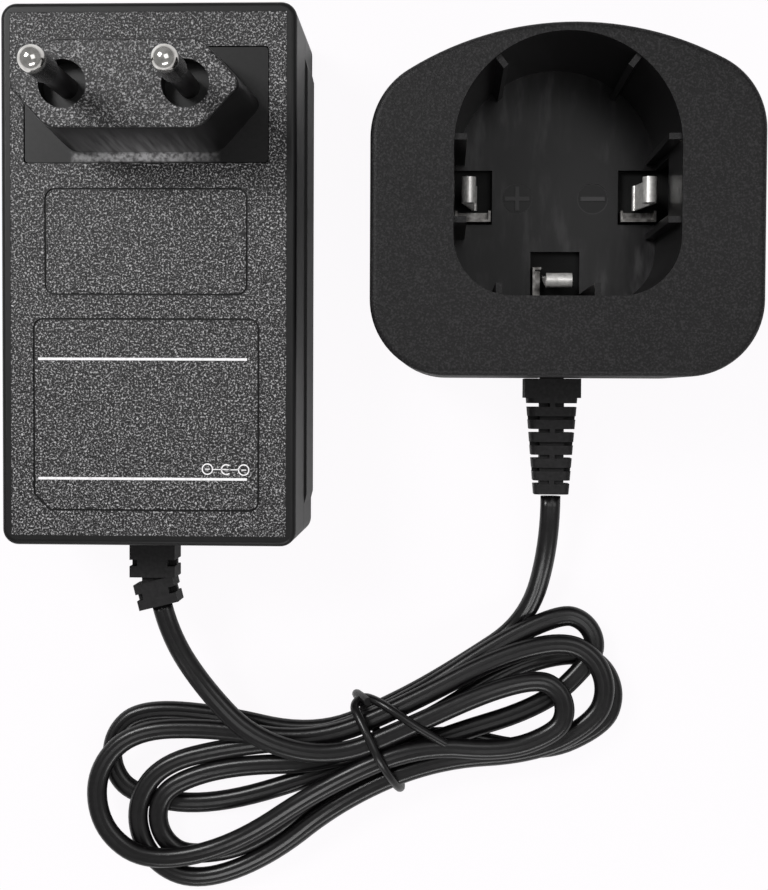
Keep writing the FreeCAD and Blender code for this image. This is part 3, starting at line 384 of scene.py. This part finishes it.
def times(tree, a, b):
    """The product of two masks."""
    return node(tree, "Math", {"operation": "MULTIPLY"}, _0=a, _1=b).outputs[0]


def dress(made, *names):
    """Gives CAD nodes a material in all their slots."""
    for name in names:
        mesh = part[name].data
        mesh.materials.clear()
        mesh.materials.append(made)


case, tree, shader, spot = material("adapter_case", "2A292A", 0.42, shine=0.3)
grain = node(tree, "TexNoise", Vector=spot, **GRAIN).outputs[0]
cloud = node(tree, "TexNoise", Vector=spot, Scale=90.0, Detail=2.0).outputs[0]
# The bright end of this grain ramp is painted glints on the grain.
grain_with_glints = ramp(tree, grain, (0.42, "0F0E0F"), (0.53, "2C2B2C"), (0.69, "BEBDBE"))
smooth = ramp(tree, cloud, (0.3, "090909"), (0.7, "121112"))
low, high, middle = box("adapter_front_shell")
face_half = (middle.x - low.x - FACE_BORDER, middle.y - low.y - FACE_BORDER, FACE_SKIN)
on_face = inside(tree, spot, (middle.x, middle.y, high.z), face_half, FACE_SOFT)
tree.links.new(mixed(tree, on_face, smooth, grain_with_glints), shader.inputs["Base Color"])
bumped(tree, shader, times(tree, grain, on_face), 0.75, 0.00014)
dress(case, "adapter_front_shell", "adapter_back_shell")

# Plug
# A plate and a flat head in one moulding, set in the adapter's face. The plate is smooth, the head's
# top carries the coarse grain flecked with painted glints, and its lower side carries fine lines under a
# painted reflection that brightens towards its foot, with a painted highlight band on the plate there.
REFLECTION_FOOT = 0.0310
REFLECTION_BLOCK = ((-0.0378, 0.0266, 0.0385), (0.0130, 0.0022, 0.0095), 0.0020)
LIGHT_FADE_BLOCK = ((-0.0388, 0.0266, 0.0385), (0.0135, 0.05, 0.05), 0.0100)
HIGHLIGHT_BAND_BLOCK = ((-0.0378, 0.0257, 0.0297), (0.0125, 0.0010, 0.0006), 0.0005)
TOP_HALF = (0.03, 0.03, 0.0002)
TOP_SOFT = 0.00006
low, high, plug_middle = box("plug_body")
plug_mat, tree, shader, spot = material("plug", "2A292A", 0.4, shine=0.3)
grain = node(tree, "TexNoise", Vector=spot, **GRAIN).outputs[0]
# The bright end of this grain ramp is painted glints on the head's grain.
grain_with_glints = ramp(tree, grain, (0.4, "111011"), (0.52, "2C2B2C"), (0.68, "AAA9AA"))
stretched = node(tree, "Mapping", Vector=spot, Scale=(1.0, 1.0, 0.03)).outputs[0]
lines = node(tree, "TexNoise", Vector=stretched, Scale=1500.0, Detail=2.0).outputs[0]
smooth_and_painted_light = ramp(tree, lines, (0.3, "090909"), (0.75, "131213"))
height = node(tree, "SeparateXYZ", Vector=spot).outputs[2]
# Painted reflection on the head's lower side, growing brighter towards its foot and fading at both
# sides.
reflection_rise = node(tree, "MapRange", Value=height, From_Min=high.z, From_Max=REFLECTION_FOOT, To_Min=0.1,
                To_Max=0.75).outputs[0]
reflection_side = inside(tree, spot, *REFLECTION_BLOCK)
light_fade = inside(tree, spot, *LIGHT_FADE_BLOCK)
reflection_rise = times(tree, reflection_rise, light_fade)
painted_reflection = ramp(tree, lines, (0.3, "4A494A"), (0.7, "8A898A"))
smooth_and_painted_light = mixed(tree, times(tree, reflection_side, reflection_rise), smooth_and_painted_light, painted_reflection)
# A painted highlight band on the plate along the head's foot.
highlight_band = inside(tree, spot, *HIGHLIGHT_BAND_BLOCK)
painted_highlight = ramp(tree, lines, (0.35, "7A797A"), (0.6, "CFCECF"))
smooth_and_painted_light = mixed(tree, times(tree, highlight_band, light_fade), smooth_and_painted_light, painted_highlight)
head_top = (plug_middle.x, plug_middle.y, high.z + TOP_HALF[2] / 2)
on_top = inside(tree, spot, head_top, TOP_HALF, TOP_SOFT)
tree.links.new(mixed(tree, on_top, smooth_and_painted_light, grain_with_glints), shader.inputs["Base Color"])
bumped(tree, shader, times(tree, grain, on_top), 0.6, 0.00012)
dress(plug_mat, "plug_body")

# Pin sleeves
# A dark plastic sleeve round the root of each pin, pushed into the head.
sleeve_mat, tree, shader, spot = material("sleeve", "151415", 0.28)
rings = node(tree, "TexNoise", Vector=spot, Scale=400.0).outputs[0]
bumped(tree, shader, rings, 0.08, 0.00004)
dress(sleeve_mat, "pin_sleeve_left", "pin_sleeve_right")

# Pins
# Two round pins of nickel-plated brass, fixed in the head. Below each bright tip the shank is toned
# darker, for the black casing that it mirrors when seen from the front.
SHANK_HEIGHT = 0.0600
SHANK_HALF = (0.0200, 0.0060, 0.0044)
SHANK_SOFT = 0.0006
nickel, tree, shader, spot = material("nickel", "D2D0CC", 0.16, 1.0)
wear = node(tree, "TexNoise", Vector=spot, Scale=700.0, Detail=3.0).outputs[0]
bright = ramp(tree, wear, (0.35, "BDBBB7"), (0.65, "E6E4E0"))
shank = inside(tree, spot, (plug_middle.x, plug_middle.y, SHANK_HEIGHT), SHANK_HALF, SHANK_SOFT)
tree.links.new(mixed(tree, shank, bright, "2E2D2C"), shader.inputs["Base Color"])
bumped(tree, shader, wear, 0.06, 0.00003)
dress(nickel, "plug_pin_left", "plug_pin_right")

# Spring contacts
# Three bent leaves of plated spring strip, fixed to the cradle's board, finely brushed.
leaf_nickel, tree, shader, spot = material("leaf_nickel", "F2F0ED", 0.36, 0.5)
brushed = node(tree, "TexNoise", Vector=spot, Scale=1100.0, Detail=3.0).outputs[0]
tree.links.new(ramp(tree, brushed, (0.35, "DAD8D5"), (0.65, "FAF8F5")), shader.inputs["Base Color"])
dress(leaf_nickel, "contact_leaf_left", "contact_leaf_right", "contact_leaf_bottom")

# Contact brackets
# Thin folded steel troughs beside the contacts, toned dark all over as painted shade for their shaded
# insides, and uneven in tone.
bracket_steel, tree, shader, spot = material("bracket_steel", "6E6C6A", 0.3, 1.0)
shaded_tone = node(tree, "TexNoise", Vector=spot, Scale=900.0, Detail=3.0).outputs[0]
# Painted shade: the whole trough is toned dark, unevenly.
tree.links.new(ramp(tree, shaded_tone, (0.35, "4A4846"), (0.7, "8A8886")), shader.inputs["Base Color"])
dress(bracket_steel, "contact_bracket_left", "contact_bracket_right", "contact_bracket_bottom")

# Cradle housing
# Outer walls and cup in one moulding of hard black plastic on a flat base. It is finely grained
# outside and polished in the cup, where batteries have rubbed its floor round two polarity marks.
CUP_X = 0.0307
CUP_Y = 0.02395
CUP_BLOCK = ((CUP_X, CUP_Y, 0.0165), (0.0200, 0.0214, 0.0174), 0.0004)
CUP_ROUND_Y = 0.0229
CUP_ROUND_RADIUS = 0.0231
CUP_ROUND_SOFT = 0.0002
FLOOR_BLOCK = ((CUP_X, CUP_Y, 0.0), (0.03, 0.03, 0.0064), 0.0006)
PLUS_X = 0.0240
MINUS_X = 0.0374
MARK_Y = 0.021955
MARK_HEIGHT = 0.0055
MARK_DEEP = 0.002
DISC_RADIUS = 0.00258
DISC_SOFT = 0.00014
EDGE_RADIUS = 0.00265
EDGE_THICK = 0.00009
BAR_LONG = 0.0022
BAR_THICK = 0.00042
BAR_SOFT = 0.0001
RIM_WIDTH = 0.00018
RIM_ANGLE = 55
cup_case, tree, shader, spot = material("cradle_case", "1A191A", 0.45, shine=0.25)
fine = node(tree, "TexNoise", Vector=spot, Scale=3200.0, Detail=1.0).outputs[0]
broad = node(tree, "TexNoise", Vector=spot, Scale=35.0, Detail=2.0).outputs[0]
grit = ramp(tree, fine, (0.35, "090909"), (0.5, "151415"), (0.7, "323132"))
outer = mixed(tree, 0.35, grit, ramp(tree, broad, (0.3, "0F0E0F"), (0.7, "1E1D1E")))
in_cup = inside(tree, spot, *CUP_BLOCK)
flat_spot = node(tree, "Mapping", Vector=spot, Scale=(1.0, 1.0, 0.0)).outputs[0]


def near(x, y, radius, soft):
    """1 nearer than radius to x, y seen from above, falling to 0 over soft; with the distance."""
    away = node(tree, "VectorMath", {"operation": "DISTANCE"}, _0=flat_spot, _1=(x, y, 0.0))
    away = away.outputs["Value"]
    close = node(tree, "MapRange", Value=away, From_Min=radius, From_Max=radius + soft, To_Min=1.0,
                 To_Max=0.0)
    return close.outputs[0], away


def bar(x, half_x, half_y):
    """1 inside one stroke of a mark."""
    return inside(tree, spot, (x, MARK_Y, MARK_HEIGHT), (half_x, half_y, MARK_DEEP), BAR_SOFT)


in_cup = times(tree, in_cup, near(CUP_X, CUP_ROUND_Y, CUP_ROUND_RADIUS, CUP_ROUND_SOFT)[0])
long_way = node(tree, "Mapping", Vector=spot, Rotation=(0, 0, 0.5), Scale=(1.0, 0.22, 1.0)).outputs[0]
rub = node(tree, "TexNoise", Vector=long_way, Scale=420.0, Detail=4.0).outputs[0]
streak = ramp(tree, rub, (0.36, "0E0D0E"), (0.52, "1E1D1E"), (0.7, "424142"))
patches = node(tree, "TexNoise", Vector=spot, Scale=75.0, Detail=3.0).outputs[0]
worn = ramp(tree, patches, (0.38, "000000"), (0.55, "FFFFFF"))
on_floor = inside(tree, spot, *FLOOR_BLOCK)
inner = mixed(tree, times(tree, worn, on_floor), "121112", streak)
for mark_x, tone in ((PLUS_X, "141314"), (MINUS_X, "050405")):
    disc, away = near(mark_x, MARK_Y, DISC_RADIUS, DISC_SOFT)
    inner = mixed(tree, disc, inner, tone)
    edge = node(tree, "Math", {"operation": "COMPARE"}, _0=away, _1=EDGE_RADIUS, _2=EDGE_THICK)
    inner = mixed(tree, edge.outputs[0], inner, "302F30")
    inner = mixed(tree, bar(mark_x, BAR_LONG, BAR_THICK), inner, "3E3D3E")
inner = mixed(tree, bar(PLUS_X, BAR_THICK, BAR_LONG), inner, "3E3D3E")
tree.links.new(mixed(tree, in_cup, outer, inner), shader.inputs["Base Color"])
gloss = node(tree, "MapRange", Value=in_cup, To_Min=0.5, To_Max=0.3).outputs[0]
tree.links.new(gloss, shader.inputs["Roughness"])
outside = node(tree, "MapRange", Value=in_cup, To_Min=1.0, To_Max=0.0).outputs[0]
bumped(tree, shader, times(tree, fine, outside), 0.7, 0.0001)
dress(cup_case, "cradle_housing", "cradle_base")
rim = part["cradle_housing"].modifiers.new("rim", "BEVEL")
rim.width = RIM_WIDTH
rim.segments = 2
rim.limit_method = "ANGLE"
rim.angle_limit = math.radians(RIM_ANGLE)

# Strain reliefs
# Slotted sleeves of soft black rubber moulded on the cord, one clamped in the adapter's shells and
# one in the cradle's.
rubber, tree, shader, spot = material("relief_rubber", "1A191A", 0.55, shine=0.25)
skin = node(tree, "TexNoise", Vector=spot, Scale=1600.0, Detail=2.0).outputs[0]
tree.links.new(ramp(tree, skin, (0.3, "111011"), (0.7, "1E1D1E")), shader.inputs["Base Color"])
bumped(tree, shader, skin, 0.25, 0.00006)
dress(rubber, "adapter_strain_relief", "cradle_strain_relief")

# Boards
# Two glass-fibre boards, standing on posts in the adapter and in the cradle. The adapter's has a green
# mask, and the cradle's is toned black all over as painted shade for the dark seen through the cup's
# windows.
green, tree, shader, spot = material("board", "1E5A33", 0.4)
mask = node(tree, "TexVoronoi", Vector=spot, Scale=260.0).outputs[0]
tree.links.new(ramp(tree, mask, (0.2, "184A2A"), (0.6, "226239")), shader.inputs["Base Color"])
dress(green, "adapter_board")

# The cradle's board is painted shade: toned black for the dark under the cup.
shade_black_board, tree, shader, spot = material("shade_black_board", "080808", 0.6, shine=0.2)
mask = node(tree, "TexNoise", Vector=spot, Scale=300.0, Detail=2.0).outputs[0]
tree.links.new(ramp(tree, mask, (0.3, "050505"), (0.7, "0D0D0D")), shader.inputs["Base Color"])
dress(shade_black_board, "cradle_board")

# Parts on the boards
# Plain parts of usual make, soldered to the boards, with the leads between them and the base's
# screws. Each has one finish with a slightly uneven skin.
plain_parts = [("ferrite", "3A3A3C", 0.6, 0.0, ("transformer_core", "choke_core")),
               ("winding", "A4602C", 0.35, 1.0, ("choke_windings",)),
               ("tape", "C9A93A", 0.35, 0.0, ("transformer_winding", "x_capacitor")),
               ("bobbin", "252525", 0.5, 0.0, ("transformer_bobbin",)),
               ("capacitor", "1C2340", 0.3, 0.0, ("bulk_capacitors", "output_capacitors",
                                                  "y_capacitor")),
               ("chip", "202020", 0.5, 0.0, ("bridge_rectifier", "switching_transistor", "optocoupler",
                                             "output_diode", "cradle_diode", "fuse")),
               ("resistor", "9E8460", 0.4, 0.0, ("cradle_resistor",)),
               ("heatsink", "C8C8C8", 0.35, 1.0, ("heatsink",)),
               ("terminal", "B8995A", 0.3, 1.0, ("pin_terminal_left", "pin_terminal_right")),
               ("lead", "8A1418", 0.4, 0.0, ("adapter_output_leads", "cradle_leads")),
               ("screw", "A2A2A2", 0.3, 1.0, ("base_screws",))]
for name, base, rough, metal, users in plain_parts:
    made, tree, shader, spot = material(name, base, rough, metal)
    surface = node(tree, "TexNoise", Vector=spot, Scale=800.0, Detail=3.0).outputs[0]
    bumped(tree, shader, surface, 0.12, 0.00005)
    dress(made, *users)

# Printed marks on the face
# White ink printed on the outlined panels: two rules and a plain polarity sign, a hair above the
# face. Places in mm.
PRINT_TOP = 0.03003
RULE_ENDS = (-55.7, -21.1)
RULE_ROWS = (-7.33, -27.03)
RULE_THICK = 0.42
LEFT_RING = (-27.63, -25.36, 0.85, 0.2)
OPEN_RING = (-24.50, -25.42, 0.8, 0.22)
OPEN_RING_ARC = (50, 310)
RIGHT_RING = (-21.63, -25.48, 0.85, 0.2)
SIGN_STROKES = ((-26.7, -23.8, -25.42), (-24.1, -22.5, -25.45), (-28.05, -27.2, -25.36),
                (-22.05, -21.2, -25.48))
STROKE_THICK = 0.16
RING_STEPS = 32
print_white, tree, shader, spot = material("print_white", "F2F0F2", 0.5)
worn = node(tree, "TexNoise", Vector=spot, Scale=1500.0).outputs[0]
tree.links.new(ramp(tree, worn, (0.2, "D8D6D8"), (0.5, "F6F4F6")), shader.inputs["Base Color"])
marks = bmesh.new()


def flat_bar(x0, x1, y, thick):
    """One printed stroke along x."""
    corners = [marks.verts.new((x / MM, (y + side * thick / 2) / MM, PRINT_TOP)) for x, side in
               ((x0, -1), (x1, -1), (x1, 1), (x0, 1))]
    marks.faces.new(corners)


def flat_ring(x, y, radius, thick, start=0.0, end=360.0):
    """A printed ring, or an arc of one between two angles in degrees."""
    rows = []
    for step in range(RING_STEPS + 1):
        a = math.radians(start + (end - start) * step / RING_STEPS)
        rows.append([marks.verts.new(((x + r * math.cos(a)) / MM, (y + r * math.sin(a)) / MM, PRINT_TOP))
                     for r in (radius - thick / 2, radius + thick / 2)])
    for one, two in zip(rows, rows[1:]):
        marks.faces.new((one[0], one[1], two[1], two[0]))


for row in RULE_ROWS:
    flat_bar(*RULE_ENDS, row, RULE_THICK)
flat_ring(*LEFT_RING)
flat_ring(*OPEN_RING, *OPEN_RING_ARC)
flat_ring(*RIGHT_RING)
for stroke in SIGN_STROKES:
    flat_bar(*stroke, STROKE_THICK)
mark_mesh = bpy.data.meshes.new("face_marks")
marks.to_mesh(mark_mesh)
marks.free()
piece("face_marks", mark_mesh, print_white, smooth=False)
